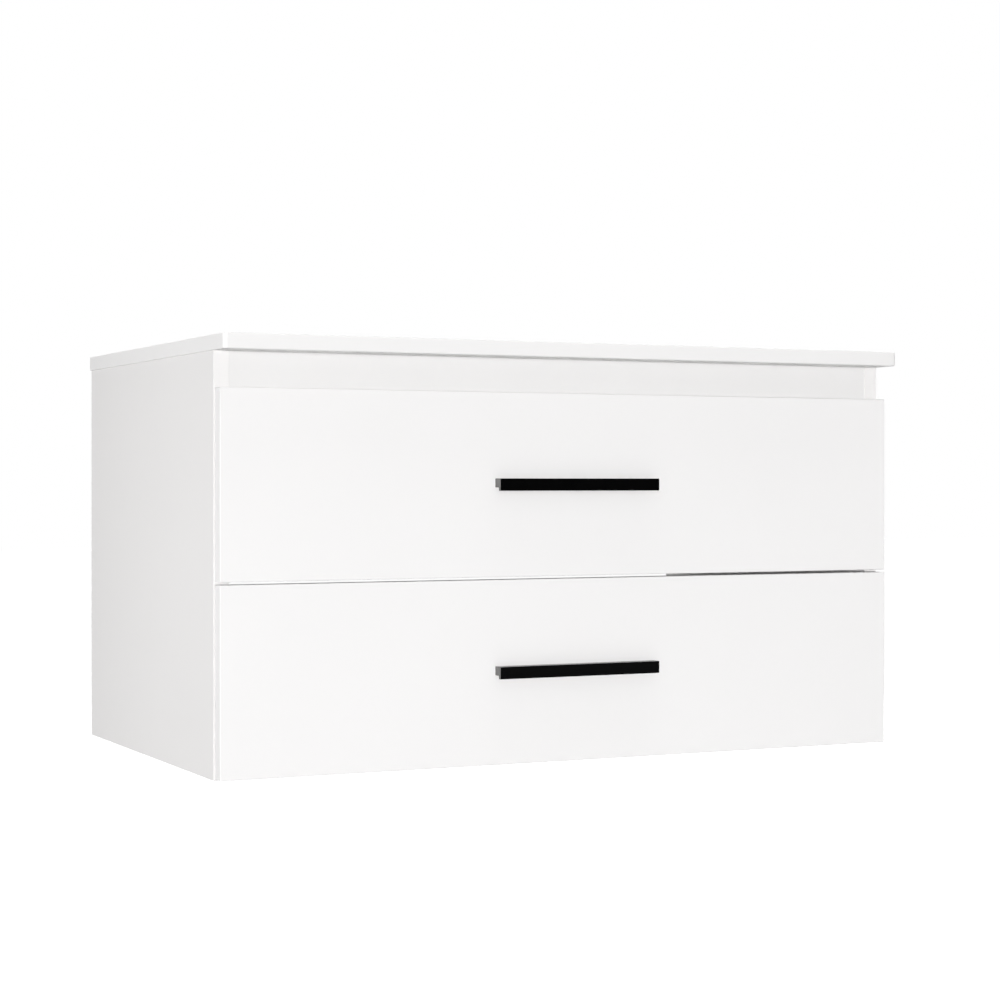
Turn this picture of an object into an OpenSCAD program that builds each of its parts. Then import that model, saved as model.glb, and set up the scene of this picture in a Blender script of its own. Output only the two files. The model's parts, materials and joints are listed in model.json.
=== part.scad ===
// Wall-hung bathroom vanity: an open-backed board carcass under an overhanging counter,
// with a shadow gap above two overlay drawers on telescopic ball runners.
// X runs to the right, Y towards the wall and Z up. The origin lies on the wall face,
// in the middle of the four wall-screw holes.

/* [Carcass] */
// Width over both side panels
carcass_w = 900; // [700:1:1200]
// Depth from the wall to the front edges of the side panels
carcass_d = 520; // [440:1:640]
// Height of the side panels
carcass_h = 487; // [450:1:640]
// Thickness of the carcass boards
board_t = 18; // [16:0.5:22]
// Height of the front rail that closes the shadow gap
front_rail_h = 60; // [54:1:66]
// Distance of the front rail behind the front edges of the side panels
front_rail_setback = 1; // [0:0.5:6]
// Height of the upper rear rail, which hangs the unit on the wall
hanging_rail_h = 98; // [90:1:120]
// Height of the lower rear rail
lower_rail_h = 80; // [72:1:110]

/* [Wall screws] */
// Distance between the wall screws across the unit
wall_screw_pitch = 640; // [400:1:680]
// Diameter of the wall-screw holes
wall_screw_hole_d = 6; // [5:0.5:8]

/* [Counter] */
// Thickness of the counter
counter_t = 18; // [16:0.5:30]
// How far the counter stands out past each side panel
counter_side_over = 2; // [0:0.5:20]
// How far the counter stands out past the front edges of the side panels
counter_front_over = 42; // [24:1:60]
// Radius of the two front corners, seen from above
counter_corner_r = 5; // [3:0.5:20]
// Radius of the counter's upper and lower edges
counter_edge_r = 1.5; // [0.5:0.5:3]
// Diameter of the hole for a basin's waste
waste_hole_d = 45; // [35:1:60]
// Distance of the waste hole's centre from the wall
waste_hole_y = 230; // [200:1:250]

/* [Drawer fronts] */
// Thickness of the drawer fronts
front_t = 18; // [16:0.5:22]
// Distance of the fronts inside the carcass's outer faces
front_side_inset = 1; // [0:0.5:4]
// Height of the lower front's edge above the underside of the carcass
front_rise = 2; // [0:0.5:6]
// Gap between the two fronts
front_spacing = 3; // [2:0.5:6]
// Height of the shadow gap between the upper front and the counter
recess_h = 42; // [36:1:46]
// Gap between the fronts and the edges of the carcass
front_gap = 2; // [1:0.5:4]
// Radius of the fronts' outer edges
front_edge_r = 1; // [0.5:0.25:2]

/* [Drawer boxes] */
// Thickness of the drawer box boards
box_t = 15; // [14:0.5:18]
// Room between the upper box and the front rail above it
box_top_room = 24; // [10:1:60]
// Room between the boxes and the rear rails behind them
box_rear_room = 34; // [20:1:80]
// Height of a box above the lower edge of its front
box_lift = 28; // [22:1:34]
// Thickness of the drawer bases
base_t = 5; // [3:0.5:6]
// Height of a base above the lower edge of its box
base_lift = 10; // [7:0.5:12]
// Depth of the grooves that hold the bases
groove_depth = 6; // [4:0.5:8]
// Room left round a base in its grooves
base_slack = 0.4; // [0.2:0.1:1]
// Clear width of the siphon cut-out in the upper drawer
siphon_w = 260; // [180:1:320]
// Clear depth of the siphon cut-out from the back of the box
siphon_d = 260; // [220:1:300]

/* [Handles] */
// Distance between the two handle screws
handle_pitch = 192; // [96:32:320]
// How far a handle runs past each of its screws
handle_past = 11.5; // [9:0.5:30]
// Height of a handle's face
handle_h = 14.5; // [12:0.5:20]
// Thickness of the bar that forms the face
handle_t = 4.5; // [3:0.5:6]
// How far the face stands out from the drawer front
handle_reach = 14.5; // [12:0.5:30]
// How far the bar's lower lip reaches below the web behind it
handle_lip = 4; // [2:0.5:6]
// Radius of the bar's long edges
handle_edge_r = 0.6; // [0.2:0.1:1]
// Radius of the inner corner between the lip and the web
handle_fillet_r = 1; // [0.2:0.1:1.5]

/* [Runners] */
// How much shorter the runners are than the drawer boxes
runner_short = 20; // [14:1:60]
// Width of a runner between the side panel and the drawer box
runner_w = 12.7; // [12.7:0.1:14]
// Height of a runner's cabinet member
runner_h = 45; // [43:0.5:48]
// Distance of the runners behind the front edges of the side panels
runner_inset = 3; // [1:0.5:6]
// Height of the runners' middle above the lower edge of the drawer box
runner_lift = 40; // [36:1:44]
// Thickness of the runners' steel
steel_t = 1.1; // [1:0.05:1.2]
// Diameter of the balls
ball_d = 4; // [3.8:0.1:4]
// Running clearance between a ball and its raceways
ball_play = 0.06; // [0.02:0.01:0.08]
// Distance between the balls of a row
ball_pitch = 18; // [12:1:20]
// Number of balls in a row
ball_count = 9; // [6:1:10]
// Thickness of the ball cages
cage_t = 0.4; // [0.3:0.05:0.5]

/* [Fittings] */
// Diameter of the cam locks
cam_d = 15; // [12:0.5:15]
// Distance of a cam's centre from the end of its board
cam_reach = 34; // [24:0.5:34]
// Depth of a cam below the middle of its board
cam_under = 4; // [3:0.5:5]
// Diameter of the cam bolts' thread
bolt_d = 5; // [4:0.5:6]
// Diameter of the holes that the cam bolts pass through
bolt_way_d = 8; // [7.5:0.5:9]
// Length of a cam bolt's thread
thread_len = 11; // [9:0.5:12]
// Diameter of the dowels
dowel_d = 8; // [6:0.5:8]
// Length of the dowels
dowel_len = 29; // [25:1:32]
// Distance of the outermost fittings from a board's ends
fitting_inset = 60; // [50:1:80]
// Distance between a cam and the dowel beside it
fitting_pitch = 32; // [25:1:32]
// Clearance of a fitting in its hole
fitting_play = 0.1; // [0.05:0.05:0.2]
// Diameter of the box screws
screw_d = 4; // [3:0.5:4.5]
// Length of the box screws
screw_len = 40; // [30:1:45]
// Diameter of the runner screws
runner_screw_d = 3.5; // [3:0.5:4]
// Length of the runner screws
runner_screw_len = 12; // [9:0.5:12.5]
// Diameter of the handle screws
handle_screw_d = 4; // [3:0.5:5]
// Depth of a handle screw in its handle
handle_screw_grip = 10; // [6:0.5:11]
// Diameter of the bumpers on the backs of the fronts
bumper_d = 8; // [6:0.5:10]
// Gap between a bumper and the edge of its side panel
bumper_gap = 0.3; // [0.2:0.1:0.6]

/* [Hidden] */
$fn = 48;

// Colours of the materials
white_board = [0.95, 0.95, 0.945];
black_metal = [0.04, 0.04, 0.042];
zinc_steel = [0.74, 0.75, 0.77];
cage_steel = [0.62, 0.64, 0.67];
beech = [0.80, 0.64, 0.45];
soft_clear = [0.85, 0.86, 0.86];

// How far a cutting shape runs past the face it opens
cut = 1;

// Numbers of the two drawers, counted upwards
lower = 0;
upper = 1;

// The carcass
inner_w = carcass_w - 2 * board_t;
hang_z = carcass_h - hanging_rail_h / 2;
hold_z = board_t + lower_rail_h / 2;
base_z = -(hang_z + hold_z) / 2;
top_z = base_z + carcass_h;
front_y = -carcass_d;

// The drawer fronts
front_w = carcass_w - 2 * front_side_inset;
front_h = (carcass_h - recess_h - front_rise - front_spacing) / 2;
front_back_y = front_y - front_gap;
front_face_y = front_back_y - front_t;
function front_z(drawer) = base_z + front_rise + drawer * (front_h + front_spacing);

// The drawer boxes
box_w = inner_w - 2 * runner_w;
box_back_y = -board_t - box_rear_room;
box_d = box_back_y - front_back_y;
box_h = front_h + recess_h - front_rail_h - box_lift - box_top_room;
siphon_y = box_back_y - siphon_d;
siphon_out = siphon_w / 2 + box_t;
function box_z(drawer) = front_z(drawer) + box_lift;

// The handles: the web behind a bar is flush with its upper edge, and the screws lie in its middle
handle_len = handle_pitch + 2 * handle_past;
handle_web_h = handle_h - handle_lip;
function handle_z(drawer) = front_z(drawer) + (front_h - handle_h) / 2;
function handle_screw_z(drawer) = handle_z(drawer) + handle_lip + handle_web_h / 2;

// The runners' cross-section, with X from the side panel towards the drawer box
race_in = ball_d / 2 + ball_play;
race_out = race_in + steel_t;
outer_ball = [race_out, runner_h / 2 - race_out];
// How far below the level an outer ball looks down on the inner ball next to it
race_turn = 40;
inner_ball = outer_ball + (race_in + race_out) * [cos(race_turn), -sin(race_turn)];
// Angles round the ball's centre at which each raceway starts and ends
cabinet_race = [25, 180];
middle_outer_race = [-110, -race_turn];
middle_inner_race = [-5, 180 - race_turn];
drawer_race = [200, 270];
// Straight stretches of each raceway's cutting wedge
wedge_steps = 3;
middle_web_x = outer_ball.x + race_out * cos(middle_outer_race[0]);
// Widths by which stretches of one piece overlap where they are joined
seam_lap = 0.3;
outer_cage_x = (steel_t + middle_web_x - cage_t) / 2;
inner_cage_x = (middle_web_x + steel_t + inner_ball.x + race_out * cos(drawer_race[0]) - cage_t) / 2;
inner_cage_drop = 0.3;
runner_len = box_d - runner_short;
runner_back_y = front_y + runner_inset + runner_len;
runner_screw_inset = 30;
runner_screw_ys = [for (at = [runner_screw_inset, runner_len / 2, runner_len - runner_screw_inset])
    runner_back_y - at];
// Slots beside each screw, one step of the furniture maker's hole grid away
slot_step = 32;
slot_len = 11;
slot_w = 4.4;
slot_inset = runner_screw_inset + slot_step;
slot_ys = [for (at = [slot_inset, runner_len / 2 - slot_step, runner_len / 2 + slot_step,
    runner_len - slot_inset]) runner_back_y - at];
function runner_z(drawer) = box_z(drawer) + runner_lift;

// The fittings. Each list gives places on the right half as [place, rotation]: a fitting's
// own X points along its bolt, out of the board that holds it, and its Z to its open face.
across = [0, 0, 0];
cam_to_back = [-90, 0, 0];
cam_to_front = [90, 0, 0];
upright = [0, -90, 0];
forwards = [90, 0, -90];
end_x = inner_w / 2;
side_x = (carcass_w - board_t) / 2;
rail_y = -board_t / 2;
front_rail_y = front_y + front_rail_setback + board_t / 2;
front_rail_z = top_z - front_rail_h / 2;
// Distances of the fittings from the middle of each rail
front_rail_step = 12;
hanging_step = 28;
lower_rail_step = fitting_pitch / 2;

floor_cams = [for (y = [front_y + fitting_inset, -fitting_inset])
    [[end_x, y, base_z + board_t / 2], across]];
floor_dowels = [for (y = [front_y + fitting_inset + fitting_pitch, -fitting_inset - fitting_pitch])
    [[end_x, y, base_z + board_t / 2], across]];
front_rail_cams = [[[end_x, front_rail_y, front_rail_z + front_rail_step], cam_to_back]];
front_rail_dowels = [[[end_x, front_rail_y, front_rail_z - front_rail_step], cam_to_back]];
hanging_cams = [for (side = [-1, 1])
    [[end_x, rail_y, base_z + hang_z + side * hanging_step], cam_to_front]];
hanging_dowels = [[[end_x, rail_y, base_z + hang_z], cam_to_front]];
lower_rail_cams = [[[end_x, rail_y, base_z + hold_z + lower_rail_step], cam_to_front]];
lower_rail_dowels = [[[end_x, rail_y, base_z + hold_z - lower_rail_step], cam_to_front]];
counter_cams = [for (y = [front_y + fitting_inset, -fitting_inset]) [[side_x, y, top_z], upright]];
counter_dowels = [for (y = [front_y + fitting_inset + fitting_pitch, -fitting_inset - fitting_pitch])
    [[side_x, y, top_z], upright]];
rail_cams = concat(front_rail_cams, hanging_cams, lower_rail_cams);
rail_dowels = concat(front_rail_dowels, hanging_dowels, lower_rail_dowels);

// The fittings of a drawer, and its screws, whose own X points the way they are driven
box_side_x = (box_w - box_t) / 2;
box_cam_low = 72;
box_cam_drop = 25;
box_dowel_low = 25;
box_screw_inset = 35;
outwards = [0, 0, 0];
inwards = [0, 0, 180];
backwards = [0, 0, 90];
function box_cams(drawer) = [for (z = [box_cam_low, box_h - box_cam_drop])
    [[box_side_x, front_back_y, box_z(drawer) + z], forwards]];
function box_dowels(drawer) = [for (z = [box_dowel_low, (box_cam_low + box_h - box_cam_drop) / 2])
    [[box_side_x, front_back_y, box_z(drawer) + z], forwards]];
function screw_zs(drawer) = [box_z(drawer) + box_screw_inset, box_z(drawer) + box_h - box_screw_inset];
function back_screws(drawer) = [for (z = screw_zs(drawer))
    [[box_w / 2, box_back_y - box_t / 2, z], inwards]];
siphon_screws = [for (z = screw_zs(upper)) each [
    [[siphon_w / 2, box_back_y - box_t / 2, z], outwards],
    [[siphon_out - box_t / 2, siphon_y - box_t, z], backwards]]];
function cabinet_member_screws_at(drawer) = [for (y = runner_screw_ys)
    [[inner_w / 2 - steel_t, y, runner_z(drawer)], outwards]];
function drawer_member_screws_at(drawer) = [for (y = runner_screw_ys)
    [[box_w / 2 + steel_t, y, runner_z(drawer)], inwards]];

// Sizes of the fittings' own details
bolt_head_d = 6;
bolt_neck_d = 3.4;
bolt_neck_len = 4;
bolt_neck_gap = 1;
bolt_head_past = 2;
cam_slot_play = 0.3;
cam_slot_room = 1.5;
cam_slot_d = bolt_head_d + 2 * cam_slot_play;
cam_slot_past = bolt_head_past + cam_slot_room;
cam_top_gap = 0.3;
cross_len = 8;
cross_w = 1.4;
cross_depth = 2;
dowel_bite = 10;
hole_spare = 0.6;
head_ratio = 2;
handle_hole_play = 1;
handle_head_d = 7.6;
handle_head_t = 2.4;
bumper_inset = 25;
cage_end = 8;

// ---- Shapes that repeat ----

module both_sides() {
    children();
    mirror([1, 0, 0]) children();
}

module at_places(places) {
    for (place = places) translate(place[0]) rotate(place[1]) children();
}

// A cylinder along X
module rod(from, to, d) {
    translate([from, 0, 0]) rotate([0, 90, 0]) cylinder(h = to - from, d = d);
}

// What a radius takes off an outer corner at the origin, or fills into an inner one
module corner_waste(r) {
    difference() {
        translate([-cut, -cut]) square(r + cut);
        translate([r, r]) circle(r);
    }
}

// A rectangle from the origin, with a radius for each corner, anticlockwise
module soft_rect(w, h, radii) {
    difference() {
        square([w, h]);
        corner_waste(radii[0]);
        translate([w, 0]) mirror([1, 0]) corner_waste(radii[1]);
        translate([w, h]) mirror([1, 0]) mirror([0, 1]) corner_waste(radii[2]);
        translate([0, h]) mirror([0, 1]) corner_waste(radii[3]);
    }
}

// An outline in X and Z, drawn out along Y towards the wall
module along_y(len) {
    translate([0, len, 0]) rotate([90, 0, 0]) linear_extrude(len) children();
}

// An outline in Y and Z, drawn out along X
module along_x(len) {
    rotate([90, 0, 90]) linear_extrude(len) children();
}

module cam_pocket(t) {
    translate([-cam_reach, 0, -cam_under]) cylinder(h = t / 2 + cam_under + cut, d = cam_d);
    rod(-cam_reach, cut, bolt_way_d);
}

module bolt_socket() {
    rod(-cut, thread_len + hole_spare, bolt_d);
}

module dowel_hole() {
    rod(dowel_bite - dowel_len - hole_spare, dowel_bite + hole_spare, dowel_d + fitting_play);
}

module cam(t) {
    translate([-cam_reach, 0, 0]) difference() {
        translate([0, 0, fitting_play - cam_under])
            cylinder(h = t / 2 + cam_under - fitting_play - cam_top_gap, d = cam_d - 2 * fitting_play);
        rod(-cam_slot_past, cam_d, cam_slot_d);
        translate([0, 0, t / 2 - cam_top_gap - cross_depth]) {
            translate([-cross_len / 2, -cross_w / 2, 0]) cube([cross_len, cross_w, cross_depth + cut]);
            translate([-cross_w / 2, -cross_len / 2, 0]) cube([cross_w, cross_len, cross_depth + cut]);
        }
    }
}

module cam_bolt() {
    neck_end = bolt_neck_gap - cam_reach;
    rod(0, thread_len, bolt_d - fitting_play);
    rod(neck_end + bolt_neck_len, 0, bolt_head_d);
    rod(neck_end, neck_end + bolt_neck_len, bolt_neck_d);
    rod(-cam_reach - bolt_head_past, neck_end, bolt_head_d);
}

module dowel() {
    rod(dowel_bite - dowel_len, dowel_bite, dowel_d);
}

// A countersunk screw, driven along X from the face at the origin, or its hole
module sunk_screw(d, len, play) {
    head_d = d * head_ratio + play;
    head_t = (head_d - d - play) / 2;
    rotate([0, 90, 0]) cylinder(h = head_t, d1 = head_d, d2 = d + play);
    rod(0, len + play, d + play);
}

module screw_hole(d, len) {
    sunk_screw(d, len, fitting_play);
    rod(-cut, 0, d * head_ratio + fitting_play);
}

// ---- The carcass ----

module side_panel() {
    difference() {
        translate([inner_w / 2, front_y, base_z]) cube([board_t, carcass_d, carcass_h]);
        at_places(concat(floor_cams, rail_cams)) bolt_socket();
        at_places(concat(floor_dowels, rail_dowels, counter_dowels)) dowel_hole();
        at_places(counter_cams) cam_pocket(board_t);
        at_places(concat(cabinet_member_screws_at(lower), cabinet_member_screws_at(upper)))
            screw_hole(runner_screw_d, runner_screw_len);
    }
}

module side_panel_right() {
    color(white_board) side_panel();
}

module side_panel_left() {
    color(white_board) mirror([1, 0, 0]) side_panel();
}

// A board between the side panels, from y and z, with its own cams and dowels at both ends
module cross_board(y, z, depth, height, cams, dowels) {
    difference() {
        translate([-inner_w / 2, y, z]) cube([inner_w, depth, height]);
        both_sides() {
            at_places(cams) cam_pocket(board_t);
            at_places(dowels) dowel_hole();
        }
    }
}

module wall_holes(z) {
    for (side = [-1, 1])
        translate([side * wall_screw_pitch / 2, -board_t - cut, z]) rotate([-90, 0, 0])
            cylinder(h = board_t + 2 * cut, d = wall_screw_hole_d);
}

module bottom_panel() {
    color(white_board) cross_board(front_y, base_z, carcass_d, board_t, floor_cams, floor_dowels);
}

module front_rail() {
    color(white_board)
        cross_board(front_y + front_rail_setback, top_z - front_rail_h, board_t, front_rail_h,
            front_rail_cams, front_rail_dowels);
}

module hanging_rail() {
    color(white_board) difference() {
        cross_board(-board_t, top_z - hanging_rail_h, board_t, hanging_rail_h,
            hanging_cams, hanging_dowels);
        wall_holes(base_z + hang_z);
    }
}

module lower_rail() {
    color(white_board) difference() {
        cross_board(-board_t, base_z + board_t, board_t, lower_rail_h,
            lower_rail_cams, lower_rail_dowels);
        wall_holes(base_z + hold_z);
    }
}

module counter_top() {
    w = carcass_w + 2 * counter_side_over;
    d = carcass_d + counter_front_over;
    edge = counter_edge_r;
    corner = counter_corner_r;
    color(white_board) difference() {
        translate([-w / 2, -d, top_z]) intersection() {
            linear_extrude(counter_t) soft_rect(w, d, [corner, corner, 0, 0]);
            along_y(d) soft_rect(w, counter_t, [edge, edge, edge, edge]);
            along_x(w) soft_rect(d, counter_t, [edge, 0, 0, edge]);
        }
        translate([0, -waste_hole_y, top_z - cut]) cylinder(h = counter_t + 2 * cut, d = waste_hole_d);
        both_sides() {
            at_places(counter_cams) bolt_socket();
            at_places(counter_dowels) dowel_hole();
        }
    }
}

module cabinet_cams() {
    color(zinc_steel) both_sides() at_places(concat(floor_cams, rail_cams, counter_cams)) cam(board_t);
}

module cabinet_cam_bolts() {
    color(zinc_steel) both_sides() at_places(concat(floor_cams, rail_cams, counter_cams)) cam_bolt();
}

module cabinet_dowels() {
    color(beech) both_sides() at_places(concat(floor_dowels, rail_dowels, counter_dowels)) dowel();
}

// ---- The ball runners ----

// The stretch of a raceway round a ball's centre, between the angles of its ends
module race(centre, ends) {
    reach = 2 * race_out;
    angles = [for (step = [0 : wedge_steps]) ends[0] + (ends[1] - ends[0]) * step / wedge_steps];
    wedge = [for (angle = angles) reach * [cos(angle), sin(angle)]];
    translate(centre) intersection() {
        difference() {
            circle(race_out);
            circle(race_in);
        }
        polygon(concat([[0, 0]], wedge));
    }
}

module above_and_below() {
    children();
    mirror([0, 1]) children();
}

module web(x, t, half_h) {
    translate([x, -half_h]) square([t, 2 * half_h]);
}

// A C of rolled steel against the side panel, which curls round the outer balls
module cabinet_profile() {
    web(0, steel_t, outer_ball.y);
    above_and_below() race(outer_ball, cabinet_race);
}

// The middle member runs under the outer balls and over the inner ones
module middle_profile() {
    web(middle_web_x, steel_t, outer_ball.y - (race_in + race_out) / 2);
    above_and_below() {
        race(outer_ball, middle_outer_race);
        race(inner_ball, middle_inner_race);
        translate(outer_ball) rotate(-race_turn) translate([race_in, -seam_lap])
            square([steel_t, 2 * seam_lap]);
    }
}

// A C of rolled steel on the drawer box, which curls round the inner balls
module drawer_profile() {
    web(runner_w - steel_t, steel_t, inner_ball.y - race_in);
    above_and_below() {
        race(inner_ball, drawer_race);
        translate([inner_ball.x - seam_lap, inner_ball.y - race_out])
            square([runner_w - inner_ball.x + seam_lap, steel_t]);
    }
}

// A member on the right-hand side panel
module member(drawer) {
    translate([inner_w / 2, runner_back_y - runner_len, runner_z(drawer)]) mirror([1, 0, 0])
        along_y(runner_len) children();
}

// A row of slots through a web at x, for screws that let the runner be shifted before it is fixed
module adjusting_slots(drawer, x) {
    straight = slot_len - slot_w;
    for (y = slot_ys) translate([x, y, runner_z(drawer)]) {
        for (side = [-1, 1]) translate([0, side * straight / 2, 0]) rod(-cut, steel_t + cut, slot_w);
        translate([-cut, -straight / 2, -slot_w / 2]) cube([steel_t + 2 * cut, straight, slot_w]);
    }
}

module cabinet_member(drawer) {
    difference() {
        member(drawer) cabinet_profile();
        at_places(cabinet_member_screws_at(drawer)) screw_hole(runner_screw_d, runner_screw_len);
        adjusting_slots(drawer, inner_w / 2 - steel_t);
    }
}

module drawer_member(drawer) {
    difference() {
        member(drawer) drawer_profile();
        at_places(drawer_member_screws_at(drawer)) screw_hole(runner_screw_d, runner_screw_len);
        adjusting_slots(drawer, box_w / 2);
    }
}

// A bent strip that carries a row of balls above and a row below
module cage(drawer, centre, web_x, strip_y, strip_len) {
    cage_len = ball_pitch * (ball_count - 1) + 2 * cage_end;
    translate([inner_w / 2, runner_back_y - (runner_len + cage_len) / 2, runner_z(drawer)])
        mirror([1, 0, 0]) {
            along_y(cage_len) {
                web(web_x, cage_t, strip_y + cage_t / 2);
                above_and_below() translate([web_x, strip_y - cage_t / 2]) square([strip_len, cage_t]);
            }
            for (side = [-1, 1], at = [0 : ball_count - 1])
                translate([centre.x, cage_end + at * ball_pitch, side * centre.y]) sphere(d = ball_d);
        }
}

module outer_cages(drawer) {
    color(cage_steel) both_sides()
        cage(drawer, outer_ball, outer_cage_x, outer_ball.y, outer_ball.x + ball_d / 2 - outer_cage_x);
}

module inner_cages(drawer) {
    color(cage_steel) both_sides()
        cage(drawer, inner_ball, inner_cage_x, inner_ball.y - inner_cage_drop,
            inner_ball.x + ball_d / 2 - cage_t - inner_cage_x);
}

module member_screws(places) {
    color(zinc_steel) both_sides() at_places(places) sunk_screw(runner_screw_d, runner_screw_len, 0);
}

module upper_cabinet_member_right() { color(zinc_steel) cabinet_member(upper); }
module upper_cabinet_member_left() { color(zinc_steel) mirror([1, 0, 0]) cabinet_member(upper); }
module lower_cabinet_member_right() { color(zinc_steel) cabinet_member(lower); }
module lower_cabinet_member_left() { color(zinc_steel) mirror([1, 0, 0]) cabinet_member(lower); }
module upper_middle_member_right() { color(zinc_steel) member(upper) middle_profile(); }
module upper_middle_member_left() { color(zinc_steel) mirror([1, 0, 0]) member(upper) middle_profile(); }
module lower_middle_member_right() { color(zinc_steel) member(lower) middle_profile(); }
module lower_middle_member_left() { color(zinc_steel) mirror([1, 0, 0]) member(lower) middle_profile(); }
module upper_drawer_member_right() { color(zinc_steel) drawer_member(upper); }
module upper_drawer_member_left() { color(zinc_steel) mirror([1, 0, 0]) drawer_member(upper); }
module lower_drawer_member_right() { color(zinc_steel) drawer_member(lower); }
module lower_drawer_member_left() { color(zinc_steel) mirror([1, 0, 0]) drawer_member(lower); }
module upper_outer_cages() { outer_cages(upper); }
module upper_inner_cages() { inner_cages(upper); }
module lower_outer_cages() { outer_cages(lower); }
module lower_inner_cages() { inner_cages(lower); }
module upper_member_screws() { member_screws(drawer_member_screws_at(upper)); }
module lower_member_screws() { member_screws(drawer_member_screws_at(lower)); }

module cabinet_member_screws() {
    member_screws(concat(cabinet_member_screws_at(lower), cabinet_member_screws_at(upper)));
}

// ---- The drawers ----

// A drawer base, or with room the space for it in the grooves round it
module base_sheet(drawer, room, t) {
    slack = base_slack - room;
    x = box_w / 2 - box_t + groove_depth - slack;
    front = front_back_y - groove_depth + slack;
    back = box_back_y - box_t + groove_depth - slack;
    notch_x = siphon_out - groove_depth + slack;
    notch_y = siphon_y - box_t + groove_depth - slack;
    difference() {
        translate([-x, front, 0]) cube([2 * x, back - front, t]);
        if (drawer == upper)
            translate([-notch_x, notch_y, -cut]) cube([2 * notch_x, box_d, t + 2 * cut]);
    }
}

module base_groove(drawer) {
    translate([0, 0, box_z(drawer) + base_lift - fitting_play])
        base_sheet(drawer, base_slack, base_t + 2 * fitting_play);
}

module drawer_base(drawer) {
    color(white_board) translate([0, 0, box_z(drawer) + base_lift]) base_sheet(drawer, 0, base_t);
}

module drawer_front(drawer) {
    edge = front_edge_r;
    color(white_board) difference() {
        translate([-front_w / 2, front_face_y, front_z(drawer)]) intersection() {
            along_y(front_t) soft_rect(front_w, front_h, [edge, edge, edge, edge]);
            linear_extrude(front_h) soft_rect(front_w, front_t, [edge, edge, 0, 0]);
            along_x(front_w) soft_rect(front_t, front_h, [edge, 0, 0, edge]);
        }
        base_groove(drawer);
        both_sides() {
            at_places(box_cams(drawer)) bolt_socket();
            at_places(box_dowels(drawer)) dowel_hole();
            translate([handle_pitch / 2, front_face_y - cut, handle_screw_z(drawer)])
                rotate([-90, 0, 0])
                    cylinder(h = front_t + 2 * cut, d = handle_screw_d + handle_hole_play);
        }
    }
}

module box_side(drawer) {
    difference() {
        translate([box_w / 2 - box_t, front_back_y, box_z(drawer)]) cube([box_t, box_d, box_h]);
        base_groove(drawer);
        at_places(box_cams(drawer)) cam_pocket(box_t);
        at_places(box_dowels(drawer)) dowel_hole();
        at_places(back_screws(drawer)) screw_hole(screw_d, screw_len);
        at_places(drawer_member_screws_at(drawer)) screw_hole(runner_screw_d, runner_screw_len);
    }
}

// A board across the back of a box, between two distances from the middle
module box_back(drawer, from, to) {
    difference() {
        translate([from, box_back_y - box_t, box_z(drawer)]) cube([to - from, box_t, box_h]);
        base_groove(drawer);
        both_sides() at_places(back_screws(drawer)) screw_hole(screw_d, screw_len);
        if (drawer == upper) at_places(siphon_screws) screw_hole(screw_d, screw_len);
    }
}

module siphon_wall() {
    difference() {
        translate([siphon_w / 2, siphon_y, box_z(upper)]) cube([box_t, siphon_d, box_h]);
        base_groove(upper);
        at_places(siphon_screws) screw_hole(screw_d, screw_len);
    }
}

// A flat bar with a web behind it, whose lower lip is left free for the fingers
module handle_profile() {
    edge = handle_edge_r;
    soft_rect(handle_t, handle_h, [edge, edge, 0, edge]);
    translate([handle_t - seam_lap, handle_lip])
        square([handle_reach - handle_t + seam_lap, handle_web_h]);
    translate([handle_t, handle_lip]) mirror([0, 1]) corner_waste(handle_fillet_r);
}

module handle(drawer) {
    color(black_metal) difference() {
        translate([-handle_len / 2, front_face_y - handle_reach, handle_z(drawer)])
            along_x(handle_len) handle_profile();
        both_sides() translate([handle_pitch / 2, front_face_y, handle_screw_z(drawer)])
            rotate([0, 0, -90]) rod(-cut, handle_screw_grip + hole_spare, handle_screw_d);
    }
}

module handle_screws(drawer) {
    color(zinc_steel) both_sides() translate([handle_pitch / 2, front_back_y, handle_screw_z(drawer)])
        rotate([0, 0, -90]) {
            rod(-handle_head_t, 0, handle_head_d);
            rod(0, front_t + handle_screw_grip, handle_screw_d - fitting_play);
        }
}

module bumpers(drawer) {
    color(soft_clear) both_sides()
        for (z = [bumper_inset, front_h - bumper_inset])
            translate([side_x, front_back_y, front_z(drawer) + z]) rotate([-90, 0, 0])
                cylinder(h = front_gap - bumper_gap, d = bumper_d);
}

module box_cam_set(drawer) {
    color(zinc_steel) both_sides() at_places(box_cams(drawer)) cam(box_t);
}

module box_bolt_set(drawer) {
    color(zinc_steel) both_sides() at_places(box_cams(drawer)) cam_bolt();
}

module box_dowel_set(drawer) {
    color(beech) both_sides() at_places(box_dowels(drawer)) dowel();
}

module box_screw_set(places) {
    color(zinc_steel) both_sides() at_places(places) sunk_screw(screw_d, screw_len, 0);
}

module upper_drawer_front() { drawer_front(upper); }
module upper_box_side_right() { color(white_board) box_side(upper); }
module upper_box_side_left() { color(white_board) mirror([1, 0, 0]) box_side(upper); }
module upper_box_back_right() { color(white_board) box_back(upper, siphon_out, box_w / 2 - box_t); }
module upper_siphon_wall_right() { color(white_board) siphon_wall(); }
module upper_siphon_wall_left() { color(white_board) mirror([1, 0, 0]) siphon_wall(); }
module upper_drawer_base() { drawer_base(upper); }
module upper_handle() { handle(upper); }
module upper_handle_screws() { handle_screws(upper); }
module upper_drawer_cams() { box_cam_set(upper); }
module upper_drawer_cam_bolts() { box_bolt_set(upper); }
module upper_drawer_dowels() { box_dowel_set(upper); }
module upper_box_screws() { box_screw_set(concat(back_screws(upper), siphon_screws)); }
module upper_bumpers() { bumpers(upper); }

module upper_box_back_left() {
    color(white_board) mirror([1, 0, 0]) box_back(upper, siphon_out, box_w / 2 - box_t);
}

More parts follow.
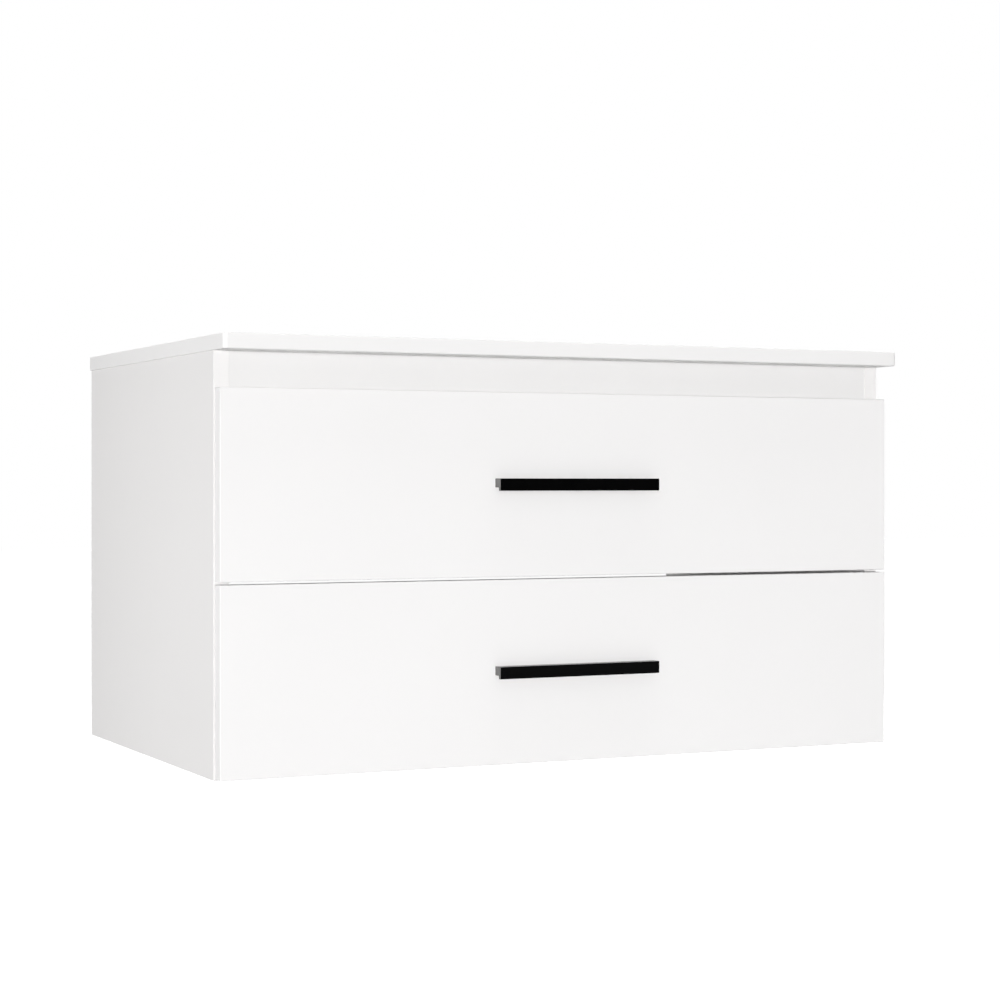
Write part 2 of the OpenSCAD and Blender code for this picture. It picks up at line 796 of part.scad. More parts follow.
module upper_siphon_wall_front() {
    color(white_board) difference() {
        translate([-siphon_out, siphon_y - box_t, box_z(upper)]) cube([2 * siphon_out, box_t, box_h]);
        base_groove(upper);
        both_sides() at_places(siphon_screws) screw_hole(screw_d, screw_len);
    }
}

module lower_drawer_front() { drawer_front(lower); }
module lower_box_side_right() { color(white_board) box_side(lower); }
module lower_box_side_left() { color(white_board) mirror([1, 0, 0]) box_side(lower); }
module lower_box_back() { color(white_board) box_back(lower, box_t - box_w / 2, box_w / 2 - box_t); }
module lower_drawer_base() { drawer_base(lower); }
module lower_handle() { handle(lower); }
module lower_handle_screws() { handle_screws(lower); }
module lower_drawer_cams() { box_cam_set(lower); }
module lower_drawer_cam_bolts() { box_bolt_set(lower); }
module lower_drawer_dowels() { box_dowel_set(lower); }
module lower_box_screws() { box_screw_set(back_screws(lower)); }
module lower_bumpers() { bumpers(lower); }

side_panel_left();
side_panel_right();
bottom_panel();
front_rail();
hanging_rail();
lower_rail();
counter_top();
cabinet_cams();
cabinet_cam_bolts();
cabinet_dowels();
upper_cabinet_member_left();
upper_cabinet_member_right();
lower_cabinet_member_left();
lower_cabinet_member_right();
cabinet_member_screws();
upper_middle_member_left();
upper_middle_member_right();
lower_middle_member_left();
lower_middle_member_right();
upper_outer_cages();
upper_inner_cages();
lower_outer_cages();
lower_inner_cages();
upper_drawer_front();
upper_box_side_left();
upper_box_side_right();
upper_box_back_left();
upper_box_back_right();
upper_siphon_wall_left();
upper_siphon_wall_right();
upper_siphon_wall_front();
upper_drawer_base();
upper_drawer_member_left();
upper_drawer_member_right();
upper_member_screws();
upper_handle();
upper_handle_screws();
upper_drawer_cams();
upper_drawer_cam_bolts();
upper_drawer_dowels();
upper_box_screws();
upper_bumpers();
lower_drawer_front();
lower_box_side_left();
lower_box_side_right();
lower_box_back();
lower_drawer_base();
lower_drawer_member_left();
lower_drawer_member_right();
lower_member_screws();
lower_handle();
lower_handle_screws();
lower_drawer_cams();
lower_drawer_cam_bolts();
lower_drawer_dowels();
lower_box_screws();
lower_bumpers();
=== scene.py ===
"""A wall-hung bathroom vanity: a white carcass under a thin counter, with two drawers behind black
handles. The sections follow the unit as it is put together, from the studio to the last bumper."""

import json
import math

import bmesh
import bpy
from mathutils import Matrix, Vector


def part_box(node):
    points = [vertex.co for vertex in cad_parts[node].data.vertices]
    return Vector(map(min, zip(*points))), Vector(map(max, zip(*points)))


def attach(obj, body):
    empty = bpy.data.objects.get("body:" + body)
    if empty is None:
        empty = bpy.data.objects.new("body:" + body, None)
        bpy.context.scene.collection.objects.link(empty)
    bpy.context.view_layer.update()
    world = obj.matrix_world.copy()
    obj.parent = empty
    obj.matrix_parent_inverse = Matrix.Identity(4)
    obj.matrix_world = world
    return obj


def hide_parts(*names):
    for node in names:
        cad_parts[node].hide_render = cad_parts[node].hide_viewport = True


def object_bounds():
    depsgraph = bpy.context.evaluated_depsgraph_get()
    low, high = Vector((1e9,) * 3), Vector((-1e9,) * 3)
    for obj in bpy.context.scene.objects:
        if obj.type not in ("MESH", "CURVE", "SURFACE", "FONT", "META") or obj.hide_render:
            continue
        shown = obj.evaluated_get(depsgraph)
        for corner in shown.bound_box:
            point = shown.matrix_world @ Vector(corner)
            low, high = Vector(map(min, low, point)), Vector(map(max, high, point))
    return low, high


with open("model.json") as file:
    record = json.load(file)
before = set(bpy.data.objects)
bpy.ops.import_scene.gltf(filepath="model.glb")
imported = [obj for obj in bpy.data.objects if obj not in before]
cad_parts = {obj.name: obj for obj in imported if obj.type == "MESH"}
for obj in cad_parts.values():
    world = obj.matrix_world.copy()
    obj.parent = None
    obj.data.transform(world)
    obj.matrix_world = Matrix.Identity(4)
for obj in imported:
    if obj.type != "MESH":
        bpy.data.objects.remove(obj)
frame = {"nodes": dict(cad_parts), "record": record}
cad_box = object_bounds()
nodes = frame["nodes"]

# ---- Camera ----
# A level camera stands in front of the unit's left half, a little above its middle. The lens is
# shifted down and not tilted, so that upright edges stay upright in the picture.

camera_place = Vector((-1.2485, -2.9539, 0.0896))
camera_turn = math.radians(-25.42)

camera_data = bpy.data.cameras.new("camera")
camera_data.sensor_width = 36
camera_data.lens = 80.98
camera_data.shift_y = -0.0176
camera = bpy.data.objects.new("camera", camera_data)
camera.location = camera_place
camera.rotation_euler = (math.radians(90), 0, camera_turn)
bpy.context.collection.objects.link(camera)
bpy.context.scene.camera = camera
bpy.context.scene.view_settings.view_transform = "Standard"

# ---- Studio ----
# A white floor well below the unit, clear when seen from beneath, and a white backdrop, which gloss
# shows dimmer toward the room. The main lamp stands far off in the camera's direction, so that
# shadows fall behind the pieces that cast them.

floor_drop = 0.36
floor_size = 40
floor_white = (0.40, 0.40, 0.40, 1)
floor_lift = 0.91
sky_room = 0.28
sky_wall = 0.20
mirror_room = 0.12
mirror_wall = 0.7
front_power = 2170
left_power = 4.8
top_power = 70
back_power = 150
paper_white = (1, 1, 1, 1)


def node_at(tree, kind, **inputs):
    """A shader node of a kind, with the values of its inputs."""
    made = tree.nodes.new(kind)
    for name, value in inputs.items():
        made.inputs[name.replace("_", " ")].default_value = value
    return made


def combine(tree, operation, first, second):
    """The result of a sum on two levels."""
    made = tree.nodes.new("ShaderNodeMath")
    made.operation = operation
    for socket, level in zip(made.inputs, (first, second)):
        if isinstance(level, bpy.types.NodeSocket):
            tree.links.new(level, socket)
        else:
            socket.default_value = level
    return made.outputs[0]


def seen_directly(tree):
    """1 for the camera's rays and for those that come off gloss or through glass, and 0 for the rest."""
    path = tree.nodes.new("ShaderNodeLightPath").outputs
    mirrored = combine(tree, "MAXIMUM", path["Is Glossy Ray"], path["Is Transmission Ray"])
    return combine(tree, "MAXIMUM", path["Is Camera Ray"], mirrored)


def toward_wall(tree, room, wall):
    """A level that passes smoothly from the room's half of the sky to the half behind the unit."""
    heading = tree.nodes.new("ShaderNodeSeparateXYZ")
    tree.links.new(tree.nodes.new("ShaderNodeTexCoord").outputs["Generated"], heading.inputs[0])
    turn = node_at(tree, "ShaderNodeMapRange", From_Min=-0.5, From_Max=0.5, To_Min=room, To_Max=wall)
    turn.interpolation_type = "SMOOTHSTEP"
    tree.links.new(heading.outputs["Y"], turn.inputs["Value"])
    return turn.outputs[0]


world = bpy.data.worlds.new("studio")
world.use_nodes = True
bpy.context.scene.world = world
sky = world.node_tree
sky.nodes.clear()
backdrop = node_at(sky, "ShaderNodeBackground", Color=paper_white)
skylight = node_at(sky, "ShaderNodeBackground", Color=paper_white)
camera_ray = sky.nodes.new("ShaderNodeLightPath").outputs["Is Camera Ray"]
mirrored_level = toward_wall(sky, mirror_room, mirror_wall)
sky.links.new(combine(sky, "MAXIMUM", camera_ray, mirrored_level), backdrop.inputs["Strength"])
sky.links.new(toward_wall(sky, sky_room, sky_wall), skylight.inputs["Strength"])
choice = sky.nodes.new("ShaderNodeMixShader")
sky.links.new(seen_directly(sky), choice.inputs[0])
sky.links.new(skylight.outputs[0], choice.inputs[1])
sky.links.new(backdrop.outputs[0], choice.inputs[2])
sky.links.new(choice.outputs[0], sky.nodes.new("ShaderNodeOutputWorld").inputs["Surface"])

floor_mesh = bpy.data.meshes.new("floor")
floor_shape = bmesh.new()
bmesh.ops.create_grid(floor_shape, x_segments=1, y_segments=1, size=floor_size / 2)
bmesh.ops.translate(floor_shape, verts=floor_shape.verts, vec=(0, 0, cad_box[0][2] - floor_drop))
floor_shape.to_mesh(floor_mesh)
floor_shape.free()
floor = bpy.data.objects.new("floor", floor_mesh)
bpy.context.collection.objects.link(floor)

floor_paint = bpy.data.materials.new("floor_paint")
floor_paint.use_nodes = True
paint = floor_paint.node_tree
paint.nodes.clear()
matt = node_at(paint, "ShaderNodeBsdfDiffuse", Color=floor_white)
glow = node_at(paint, "ShaderNodeEmission", Color=paper_white)
paint.links.new(combine(paint, "MULTIPLY", seen_directly(paint), floor_lift), glow.inputs["Strength"])
both = paint.nodes.new("ShaderNodeAddShader")
paint.links.new(matt.outputs[0], both.inputs[0])
paint.links.new(glow.outputs[0], both.inputs[1])
one_way = paint.nodes.new("ShaderNodeMixShader")
paint.links.new(paint.nodes.new("ShaderNodeNewGeometry").outputs["Backfacing"], one_way.inputs[0])
paint.links.new(both.outputs[0], one_way.inputs[1])
paint.links.new(paint.nodes.new("ShaderNodeBsdfTransparent").outputs[0], one_way.inputs[2])
paint.links.new(one_way.outputs[0], paint.nodes.new("ShaderNodeOutputMaterial").inputs["Surface"])
floor_mesh.materials.append(floor_paint)


def soft_lamp(name, place, target, size, power, mirrored=True):
    """A square lamp at a place, turned to a target, that gloss shows or doesn't."""
    data = bpy.data.lights.new(name, "AREA")
    data.shape = "SQUARE"
    data.size = size
    data.energy = power
    lamp = bpy.data.objects.new(name, data)
    lamp.location = place
    lamp.rotation_euler = (Vector(target) - Vector(place)).to_track_quat("-Z", "Y").to_euler()
    lamp.visible_glossy = mirrored
    bpy.context.collection.objects.link(lamp)


soft_lamp("front_lamp", (-6.9, -14.3, 0.15), (0, -0.5, 0), 1.9, front_power)
soft_lamp("left_lamp", (-1.6, -0.5, 0.1), (-0.45, -0.4, 0), 0.5, left_power, False)
soft_lamp("top_lamp", (0, -0.5, 4.0), (0, -0.4, 0), 1.6, top_power)
soft_lamp("back_lamp", (3.2, 2.6, 1.1), (0.2, 0, 0), 2.0, back_power)

# ---- Carcass ----
# Side panels of 18 mm chipboard in white satin lacquer, and a bottom and rails of the same board in
# a slightly darker white, which is painted shade: the shade that falls on the front rail under the
# counter's overhang. Cams and dowels join them from inside, so no fixing shows outside.

side_pale = (0.838, 0.827, 0.822, 1)
side_deep = (0.831, 0.820, 0.815, 1)
# Painted shade: the bottom and rails take a darker white for the shade under the counter's overhang.
rail_painted_shade_pale = (0.786, 0.780, 0.777, 1)
rail_painted_shade_deep = (0.779, 0.773, 0.770, 1)
satin = (0.64, 0.70)
lacquer_sheen = 0.35
panel_arris = 0.0005
weld_gap = 1e-6
flat_turn = math.radians(0.2)
slight_turn = math.radians(2)
sharp_turn = math.radians(42)
facet_w = 0.0025
facing_t = 0.0003

body_of = {name: body for body, held in frame["record"]["behaviour"]["bodies"].items() for name in held}


def finish(name):
    """A new material with its tree, its main shader, and coordinates fixed to the piece."""
    made = bpy.data.materials.new(name)
    made.use_nodes = True
    tree = made.node_tree
    main = tree.nodes["Principled BSDF"]
    place = tree.nodes.new("ShaderNodeTexCoord").outputs["Object"]
    return made, tree, main, place


def cloudy(tree, place, per_metre, detail=3.0, stretch=(1, 1, 1)):
    """Noise of so many waves to the metre, drawn out along an axis where its stretch is small."""
    mapping = tree.nodes.new("ShaderNodeMapping")
    mapping.inputs["Scale"].default_value = stretch
    tree.links.new(place, mapping.inputs["Vector"])
    noise = node_at(tree, "ShaderNodeTexNoise", Scale=per_metre, Detail=detail)
    tree.links.new(mapping.outputs[0], noise.inputs["Vector"])
    return noise.outputs["Fac"]


def between(tree, level, low, high, socket):
    """A socket's colour or number, from low to high as the level goes from 0.3 to 0.7."""
    if isinstance(low, tuple):
        ramp = tree.nodes.new("ShaderNodeValToRGB")
        ramp.color_ramp.elements[0].position = 0.3
        ramp.color_ramp.elements[0].color = low
        ramp.color_ramp.elements[1].position = 0.7
        ramp.color_ramp.elements[1].color = high
    else:
        ramp = node_at(tree, "ShaderNodeMapRange", From_Min=0.3, From_Max=0.7, To_Min=low, To_Max=high)
    tree.links.new(level, ramp.inputs[0])
    tree.links.new(ramp.outputs[0], socket)


def relief(tree, level, depth, socket):
    """Bumps of a real depth, in metres."""
    bump = tree.nodes.new("ShaderNodeBump")
    bump.inputs["Distance"].default_value = depth
    tree.links.new(level, bump.inputs["Height"])
    tree.links.new(bump.outputs[0], socket)


def lacquer(name, pale, deep, gloss):
    """Sprayed satin lacquer: nearly even in colour, with the faint orange peel of the spray."""
    made, tree, main, place = finish(name)
    between(tree, cloudy(tree, place, 6), deep, pale, main.inputs["Base Color"])
    between(tree, cloudy(tree, place, 45), gloss[0], gloss[1], main.inputs["Roughness"])
    relief(tree, cloudy(tree, place, 420, 2), 0.00002, main.inputs["Normal"])
    main.inputs["Specular IOR Level"].default_value = lacquer_sheen
    return made


def bare_board(name, pale, deep, chips_per_metre):
    """Pressed chips or fibres, laid bare where a board was drilled or grooved."""
    made, tree, main, place = finish(name)
    chips = cloudy(tree, place, chips_per_metre, 4, (1, 1, 2.5))
    between(tree, chips, deep, pale, main.inputs["Base Color"])
    between(tree, chips, 0.95, 0.75, main.inputs["Roughness"])
    relief(tree, chips, 0.0003, main.inputs["Normal"])
    return made


def welded(name):
    """A CAD node's shape as one closed skin, its flat sides whole and its round sides smooth."""
    shape = bmesh.new()
    shape.from_mesh(nodes[name].data)
    bmesh.ops.remove_doubles(shape, verts=shape.verts, dist=weld_gap)
    bmesh.ops.dissolve_limit(shape, angle_limit=flat_turn, verts=shape.verts, edges=shape.edges)
    for face in shape.faces:
        narrow = 2 * face.calc_area() / face.calc_perimeter() < facet_w
        curved = any(slight_turn < edge.calc_face_angle(0) < sharp_turn for edge in face.edges)
        face.smooth = narrow and curved
    return shape


def ease_edges(shape, arris, segments=2):
    """Takes the sharpness off the outer edges of a shape."""
    edges = [edge for edge in shape.edges if edge.is_convex and edge.calc_face_angle(0) > sharp_turn]
    bmesh.ops.bevel(shape, geom=edges, offset=arris, offset_type="OFFSET", affect="EDGES",
                    segments=segments, profile=0.5, material=-1)


def bare_where_cut(shape, name):
    """Gives the second finish to the faces that lie inside the board, which drills and grooves made."""
    low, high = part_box(name)
    for face in shape.faces:
        centre = face.calc_center_median()
        depth = min(min(centre[axis] - low[axis], high[axis] - centre[axis]) for axis in range(3))
        face.material_index = int(depth > facing_t)


def fit(shape, name, *finishes):
    """Puts a shape in the place of a CAD node, on the node's body, with the finishes given."""
    mesh = bpy.data.meshes.new(name + "_finished")
    shape.to_mesh(mesh)
    shape.free()
    for made in finishes:
        mesh.materials.append(made)
    piece = bpy.data.objects.new(name + "_finished", mesh)
    bpy.context.collection.objects.link(piece)
    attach(piece, body_of[name])
    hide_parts(name)


def fit_boards(faced, cored, *names):
    """Boards cut as their CAD nodes are, with eased edges and a bare core in their holes and grooves."""
    for name in names:
        shape = welded(name)
        bare_where_cut(shape, name)
        ease_edges(shape, panel_arris)
        fit(shape, name, faced, cored)


side_lacquer = lacquer("side_lacquer", side_pale, side_deep, satin)
# The rails' darker white is painted shade, not a different board.
rail_painted_shade_lacquer = lacquer("rail_painted_shade_lacquer", rail_painted_shade_pale, rail_painted_shade_deep, satin)
chipboard = bare_board("chipboard", (0.52, 0.38, 0.24, 1), (0.30, 0.20, 0.11, 1), 500)
fit_boards(side_lacquer, chipboard, "side_panel_left", "side_panel_right")
fit_boards(rail_painted_shade_lacquer, chipboard, "bottom_panel", "front_rail", "hanging_rail", "lower_rail")

# ---- Counter ----
# A thin slab in the same white, with a finer finish, that lies on the carcass and stands out over
# the drawer fronts. Its front corners are rounded, and so are its rims, save along the wall. A hole
# takes a basin's waste.

counter_pale = (0.868, 0.861, 0.858, 1)
counter_deep = (0.861, 0.854, 0.851, 1)
counter_gloss = (0.60, 0.66)
corner_r = 0.005
edge_r = 0.0015
waste_r = 0.0225
waste_from_wall = 0.23

counter_lacquer = lacquer("counter_lacquer", counter_pale, counter_deep, counter_gloss)
low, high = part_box("counter_top")
slab = bmesh.new()
bmesh.ops.create_grid(slab, x_segments=1, y_segments=1, size=0.5)
bmesh.ops.scale(slab, verts=slab.verts, vec=(high.x - low.x, high.y - low.y, 1))
bmesh.ops.translate(slab, verts=slab.verts, vec=((low.x + high.x) / 2, (low.y + high.y) / 2, low.z))
bmesh.ops.bevel(slab, geom=[vert for vert in slab.verts if vert.co.y < (low.y + high.y) / 2],
                offset=corner_r, affect="VERTICES", segments=8, profile=0.5, material=-1)
bmesh.ops.create_circle(slab, segments=64, radius=waste_r,
                        matrix=Matrix.Translation((0, -waste_from_wall, low.z)))
bmesh.ops.delete(slab, geom=list(slab.faces), context="FACES_ONLY")
bmesh.ops.triangle_fill(slab, edges=slab.edges, use_beauty=True)
raised = bmesh.ops.extrude_face_region(slab, geom=list(slab.faces))["geom"]
bmesh.ops.translate(slab, verts=[item for item in raised if isinstance(item, bmesh.types.BMVert)],
                    vec=(0, 0, high.z - low.z))
bmesh.ops.recalc_face_normals(slab, faces=slab.faces)
for face in slab.faces:
    centre = face.calc_center_median()
    round_hole = math.hypot(centre.x, centre.y + waste_from_wall) < 1.1 * waste_r
    upright = abs(face.normal.z) < 0.5
    face.material_index = int(round_hole and upright)
    face.smooth = upright and (round_hole or min(abs(face.normal.x), abs(face.normal.y)) > 0.01)
rims = [edge for edge in slab.edges if abs(edge.calc_face_angle(0) - math.pi / 2) < flat_turn
        and edge.verts[0].co.z == edge.verts[1].co.z and min(vert.co.y for vert in edge.verts) < high.y]
bmesh.ops.bevel(slab, geom=rims, offset=edge_r, offset_type="OFFSET", affect="EDGES", segments=4,
                profile=0.5, material=-1)
fit(slab, "counter_top", counter_lacquer, chipboard)

# ---- Drawer fronts ----
# Two equal overlay fronts of 18 mm fibreboard, lacquered on all faces. Their outer edges are rounded,
# and on their backs are the holes for bolts, dowels and handle screws, and a groove for the base.

front_pale = (0.884, 0.876, 0.874, 1)
front_deep = (0.876, 0.868, 0.866, 1)

front_lacquer = lacquer("front_lacquer", front_pale, front_deep, satin)
fibreboard = bare_board("fibreboard", (0.50, 0.37, 0.24, 1), (0.42, 0.29, 0.18, 1), 2500)
fit_boards(front_lacquer, fibreboard, "upper_drawer_front", "lower_drawer_front")

# ---- Drawer boxes ----
# Sides, backs and siphon walls of 15 mm board in a pale melamine with a fine pressed weave, and
# thin white base sheets that slide in grooves.

melamine_pale = (0.83, 0.83, 0.82, 1)
melamine_deep = (0.81, 0.81, 0.80, 1)
weave_per_metre = 900


def pressed_weave(name, pale, deep):
    """Melamine pressed against a fine linen, which leaves threads both ways."""
    made, tree, main, place = finish(name)
    upright = cloudy(tree, place, weave_per_metre, 1, (1, 1, 0.12))
    level = cloudy(tree, place, weave_per_metre, 1, (0.12, 0.12, 1))
    between(tree, cloudy(tree, place, 220, 2), deep, pale, main.inputs["Base Color"])
    between(tree, cloudy(tree, place, 60), 0.42, 0.58, main.inputs["Roughness"])
    relief(tree, combine(tree, "ADD", upright, level), 0.00005, main.inputs["Normal"])
    return made


box_melamine = pressed_weave("box_melamine", melamine_pale, melamine_deep)
fit_boards(box_melamine, chipboard, "upper_box_side_left", "upper_box_side_right",
           "upper_box_back_left", "upper_box_back_right", "upper_siphon_wall_left",
           "upper_siphon_wall_right", "upper_siphon_wall_front", "lower_box_side_left",
           "lower_box_side_right", "lower_box_back")

coated_sheet = lacquer("coated_sheet", (0.84, 0.84, 0.83, 1), (0.82, 0.82, 0.81, 1), (0.40, 0.55))
for name in ("upper_drawer_base", "lower_drawer_base"):
    fit(welded(name), name, coated_sheet)

# ---- Handles ----
# Extruded aluminium bars, coated black: a flat face with a web behind it and a free lower lip. They
# are sawn to length, which leaves bare ends; their grey is partly painted reflection, the sheen of the
# bright backdrop on an end. They are screwed on from inside the drawers.

bar_t = 0.0045
lip_drop = 0.004
bar_edge_r = 0.0004
sawn_edge = 0.0002
black_pale = (0.0012, 0.0012, 0.0013, 1)
black_deep = (0.0006, 0.0006, 0.0006, 1)
# The ends' grey is bare sawn metal and partly painted reflection of the bright backdrop.
sawn_sheen_pale = (0.17, 0.17, 0.165, 1)
sawn_sheen_deep = (0.12, 0.12, 0.117, 1)

black_coat, coat, coat_main, coat_place = finish("black_coat")
between(coat, cloudy(coat, coat_place, 900, 2), black_deep, black_pale, coat_main.inputs["Base Color"])
between(coat, cloudy(coat, coat_place, 120), 0.12, 0.20, coat_main.inputs["Roughness"])
relief(coat, cloudy(coat, coat_place, 2600, 1), 0.00001, coat_main.inputs["Normal"])
coat_main.inputs["Specular IOR Level"].default_value = 0.04

# Sawn ends in a grey that is partly painted reflection.
sawn_metal_and_sheen, saw, saw_main, saw_place = finish("sawn_metal_and_sheen")
saw_marks = cloudy(saw, saw_place, 2400, 2, (1, 0.05, 1))
between(saw, saw_marks, sawn_sheen_deep, sawn_sheen_pale, saw_main.inputs["Base Color"])
between(saw, saw_marks, 0.45, 0.60, saw_main.inputs["Roughness"])
relief(saw, saw_marks, 0.00002, saw_main.inputs["Normal"])

for name in ("upper_handle", "lower_handle"):
    low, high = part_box(name)
    outline = ((low.y, low.z), (low.y + bar_t, low.z), (low.y + bar_t, low.z + lip_drop),
               (high.y, low.z + lip_drop), (high.y, high.z), (low.y, high.z))
    bar = bmesh.new()
    end = bar.faces.new([bar.verts.new((low.x, y, z)) for y, z in outline])
    drawn = bmesh.ops.extrude_face_region(bar, geom=[end])["geom"]
    bmesh.ops.translate(bar, verts=[item for item in drawn if isinstance(item, bmesh.types.BMVert)],
                        vec=(high.x - low.x, 0, 0))
    bmesh.ops.recalc_face_normals(bar, faces=bar.faces)
    for face in bar.faces:
        # The end faces take the grey of sawn metal and painted reflection.
        face.material_index = int(abs(face.normal.x) > 0.5)
    long_edges = [edge for edge in bar.edges if edge.verts[0].co.x != edge.verts[1].co.x]
    bmesh.ops.bevel(bar, geom=long_edges, offset=bar_edge_r, offset_type="OFFSET", affect="EDGES",
                    segments=3, profile=0.5, material=-1)
    ease_edges(bar, sawn_edge, 1)
    fit(bar, name, black_coat, sawn_metal_and_sheen)

# ---- Runners ----
# Members of zinc-plated steel strip, rolled along their length, slide in one another on rows of
# balls, which bent steel cages keep apart. Screws hold them to the side panels and the boxes.

zinc_pale = (0.62, 0.63, 0.65, 1)
zinc_deep = (0.50, 0.51, 0.53, 1)


def rolled_steel(name, pale, deep, gloss, stretch):
    """Bright steel with fine lines along the way it was rolled."""
    made, tree, main, place = finish(name)
    lines = cloudy(tree, place, 1500, 3, stretch)
    between(tree, lines, deep, pale, main.inputs["Base Color"])
    between(tree, lines, gloss[0], gloss[1], main.inputs["Roughness"])
    relief(tree, lines, 0.00001, main.inputs["Normal"])
    main.inputs["Metallic"].default_value = 1
    return made


along_the_runner = (1, 0.03, 1)
zinc_strip = rolled_steel("zinc_strip", zinc_pale, zinc_deep, (0.24, 0.40), along_the_runner)
bright_steel = rolled_steel("bright_steel", (0.72, 0.73, 0.75, 1), (0.66, 0.67, 0.69, 1),
                            (0.12, 0.22), along_the_runner)
for drawer in ("upper", "lower"):
    for member in ("cabinet", "middle", "drawer"):
        for side in ("left", "right"):
            name = f"{drawer}_{member}_member_{side}"
            fit(welded(name), name, zinc_strip)
    for row in ("outer", "inner"):
        name = f"{drawer}_{row}_cages"
        fit(welded(name), name, bright_steel)

# ---- Screws ----
# Zinc-plated steel screws with a cross recess: countersunk ones in the runners and boxes, and
# machine screws with low round heads that hold the handles from inside.

recess_depth = 0.0014
recess_taper = 0.55
rim_reach = 0.0003
pan_t = 0.0024
pan_top = 0.75
pan_shank = 0.51


def solids_of(name):
    """The separate solids of a CAD node, each as a list of its points."""
    shape = welded(name)
    left = set(shape.verts)
    found = []
    for start in shape.verts:
        if start in left:
            left.remove(start)
            group = [start]
            for vert in group:
                for edge in vert.link_edges:
                    other = edge.other_vert(vert)
                    if other in left:
                        left.remove(other)
                        group.append(other)
            found.append([vert.co.copy() for vert in group])
    shape.free()
    return found


def seat_of(points):
    """How a screw lies: its head's place, the way it is driven, its length and its head's radius."""
    low = Vector([min(point[axis] for point in points) for axis in range(3)])
    high = Vector([max(point[axis] for point in points) for axis in range(3)])
    along = max(range(3), key=lambda axis: high[axis] - low[axis])
    middle = (low + high) / 2
    spread = {}
    for level in (low[along], high[along]):
        rim = [point - middle for point in points if abs(point[along] - level) < rim_reach]
        spread[level] = max(math.sqrt(ray.length_squared - ray[along] ** 2) for ray in rim)
    head = max(spread, key=spread.get)
    place = middle.copy()
    place[along] = head
    way = Vector()
    way[along] = 1 if head == low[along] else -1
    return place, way, high[along] - low[along], spread[head]


def cross_screw(top_r, rings):
    """A screw driven along Z from a cross recess at the origin, round through rings of (radius, depth)."""
    shape = bmesh.new()
    bmesh.ops.create_grid(shape, x_segments=5, y_segments=5, size=top_r)
    for vert in shape.verts:
        if vert.is_boundary:
            vert.co = vert.co.normalized() * top_r
    cross = [face for face in shape.faces
             if min(abs(face.calc_center_median().x), abs(face.calc_center_median().y)) < 0.1 * top_r
             and face.calc_center_median().length < 0.5 * top_r]
    sunk = bmesh.ops.extrude_face_region(shape, geom=cross)["geom"]
    floor_verts = [item for item in sunk if isinstance(item, bmesh.types.BMVert)]
    bmesh.ops.delete(shape, geom=cross, context="FACES")
    bmesh.ops.scale(shape, verts=floor_verts, vec=(recess_taper, recess_taper, 1))
    bmesh.ops.translate(shape, verts=floor_verts, vec=(0, 0, recess_depth))
    edge_loop = [edge for edge in shape.edges if edge.is_boundary]
    radius, depth = top_r, 0
    for next_radius, next_depth in rings:
        grown = bmesh.ops.extrude_edge_only(shape, edges=edge_loop)["geom"]
        verts = [item for item in grown if isinstance(item, bmesh.types.BMVert)]
        edge_loop = [item for item in grown if isinstance(item, bmesh.types.BMEdge)]
        ratio = next_radius / radius
        bmesh.ops.scale(shape, verts=verts, vec=(ratio, ratio, 1))
        bmesh.ops.translate(shape, verts=verts, vec=(0, 0, next_depth - depth))
        radius, depth = next_radius, next_depth
    bmesh.ops.edgeloop_fill(shape, edges=edge_loop)
    bmesh.ops.recalc_face_normals(shape, faces=shape.faces)
    return shape


def add_to(group, shape):
    """Adds a finished shape to its group's."""
    mesh = bpy.data.meshes.new("single")
    shape.to_mesh(mesh)
    shape.free()
    group.from_mesh(mesh)
    bpy.data.meshes.remove(mesh)


def fit_screws(name, make):
    """Sets a screw where each solid of a CAD node lies."""
    screws = bmesh.new()
    for points in solids_of(name):
        place, way, length, head_r = seat_of(points)
        screw = make(head_r, length)
        turn = way.to_track_quat("Z", "Y").to_matrix().to_4x4()
        bmesh.ops.transform(screw, matrix=Matrix.Translation(place) @ turn, verts=screw.verts)
        add_to(screws, screw)
    fit(screws, name, plated)


def countersunk(head_r, length):
    """A flat head that narrows to a shank of half its width."""
    return cross_screw(head_r, ((head_r / 2, head_r / 2), (head_r / 2, length)))


def pan_head(head_r, length):
    """A low round head on a shank of about half its width."""
    shank_r = pan_shank * head_r
    return cross_screw(pan_top * head_r, ((0.95 * head_r, 0.2 * pan_t), (head_r, 0.5 * pan_t),
                                          (head_r, pan_t), (shank_r, pan_t), (shank_r, length)))


plated = rolled_steel("plated", zinc_pale, zinc_deep, (0.2, 0.32), (1, 1, 1))
for name in ("cabinet_member_screws", "upper_member_screws", "lower_member_screws",
             "upper_box_screws", "lower_box_screws"):
    fit_screws(name, countersunk)
for name in ("upper_handle_screws", "lower_handle_screws"):
    fit_screws(name, pan_head)

# ---- Fittings ----
# Die-cast cam locks turn behind the heads of steel bolts and draw the boards together. Beech dowels
# keep them in line, and soft clear bumpers on the fronts' backs meet the carcass.

cam_arris = 0.0002
dowel_arris = 0.0009

cast_zinc, cast, cast_main, cast_place = finish("cast_zinc")
skin = cloudy(cast, cast_place, 1800, 3)
between(cast, skin, (0.42, 0.43, 0.44, 1), (0.54, 0.55, 0.56, 1), cast_main.inputs["Base Color"])
between(cast, skin, 0.36, 0.52, cast_main.inputs["Roughness"])
relief(cast, skin, 0.00006, cast_main.inputs["Normal"])
cast_main.inputs["Metallic"].default_value = 1

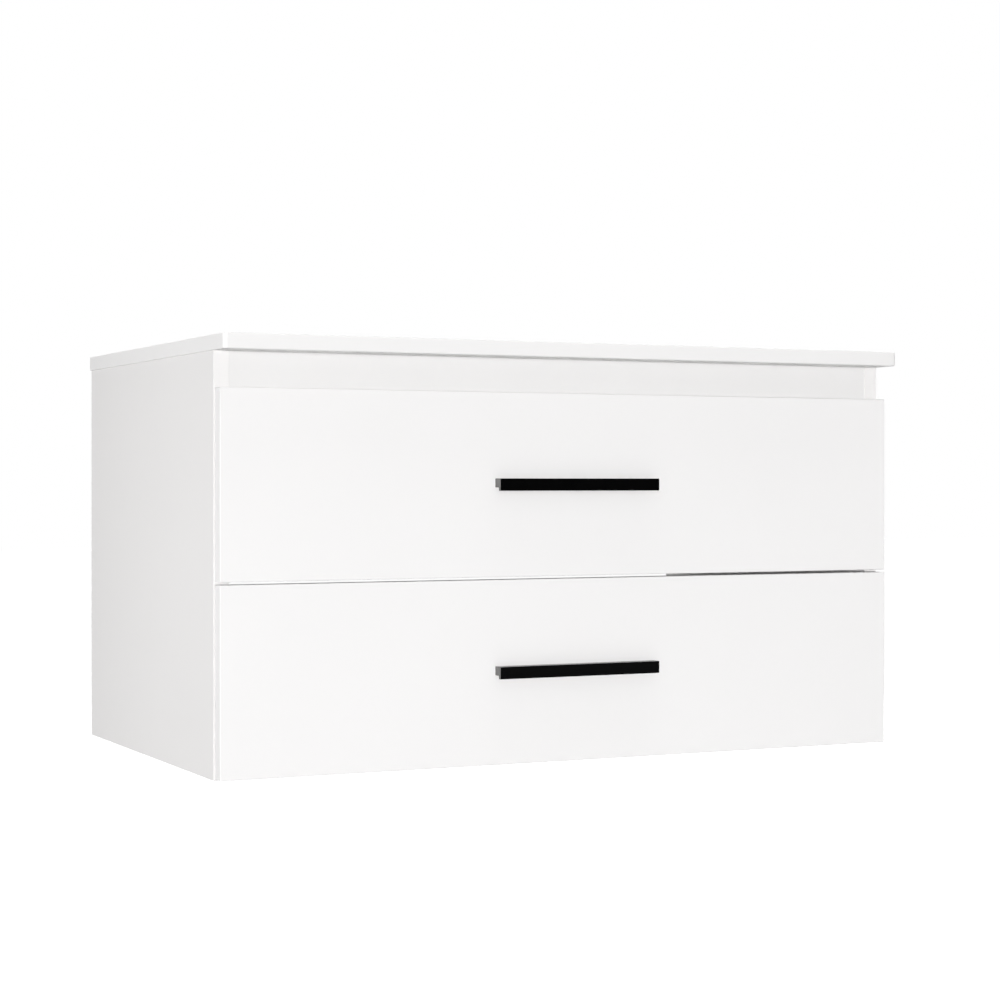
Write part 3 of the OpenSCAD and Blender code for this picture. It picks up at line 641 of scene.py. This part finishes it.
beech, grain, beech_main, beech_place = finish("beech")
fibres = cloudy(grain, beech_place, 700, 4, (0.06, 1, 1))
between(grain, fibres, (0.42, 0.26, 0.14, 1), (0.60, 0.42, 0.26, 1), beech_main.inputs["Base Color"])
between(grain, fibres, 0.55, 0.75, beech_main.inputs["Roughness"])
relief(grain, fibres, 0.00008, beech_main.inputs["Normal"])

silicone, gel, gel_main, gel_place = finish("silicone")
between(gel, cloudy(gel, gel_place, 500, 2), (0.78, 0.80, 0.80, 1), (0.86, 0.87, 0.87, 1),
        gel_main.inputs["Base Color"])
between(gel, cloudy(gel, gel_place, 300, 2), 0.18, 0.3, gel_main.inputs["Roughness"])
gel_main.inputs["Transmission Weight"].default_value = 0.6

for group in ("cabinet", "upper_drawer", "lower_drawer"):
    for kind, arris, made in (("cams", cam_arris, cast_zinc), ("cam_bolts", cam_arris, plated),
                              ("dowels", dowel_arris, beech)):
        shape = welded(f"{group}_{kind}")
        ease_edges(shape, arris, 1)
        fit(shape, f"{group}_{kind}", made)

for name in ("upper_bumpers", "lower_bumpers"):
    domes = bmesh.new()
    for points in solids_of(name):
        low = Vector([min(point[axis] for point in points) for axis in range(3)])
        high = Vector([max(point[axis] for point in points) for axis in range(3)])
        radius = (high.z - low.z) / 2
        centre = Vector(((low.x + high.x) / 2, low.y, (low.z + high.z) / 2))
        squash = Matrix.Diagonal((1, (high.y - low.y) / radius, 1, 1))
        dome = bmesh.new()
        bmesh.ops.create_uvsphere(dome, u_segments=24, v_segments=16, radius=radius,
                                  matrix=Matrix.Translation(centre) @ squash)
        bmesh.ops.bisect_plane(dome, geom=list(dome.verts) + list(dome.edges) + list(dome.faces),
                               dist=weld_gap, plane_co=centre, plane_no=(0, -1, 0), clear_outer=True)
        add_to(domes, dome)
    bmesh.ops.holes_fill(domes, edges=[edge for edge in domes.edges if edge.is_boundary])
    bmesh.ops.recalc_face_normals(domes, faces=domes.faces)
    for face in domes.faces:
        face.smooth = len(face.verts) < 5
    fit(domes, name, silicone)
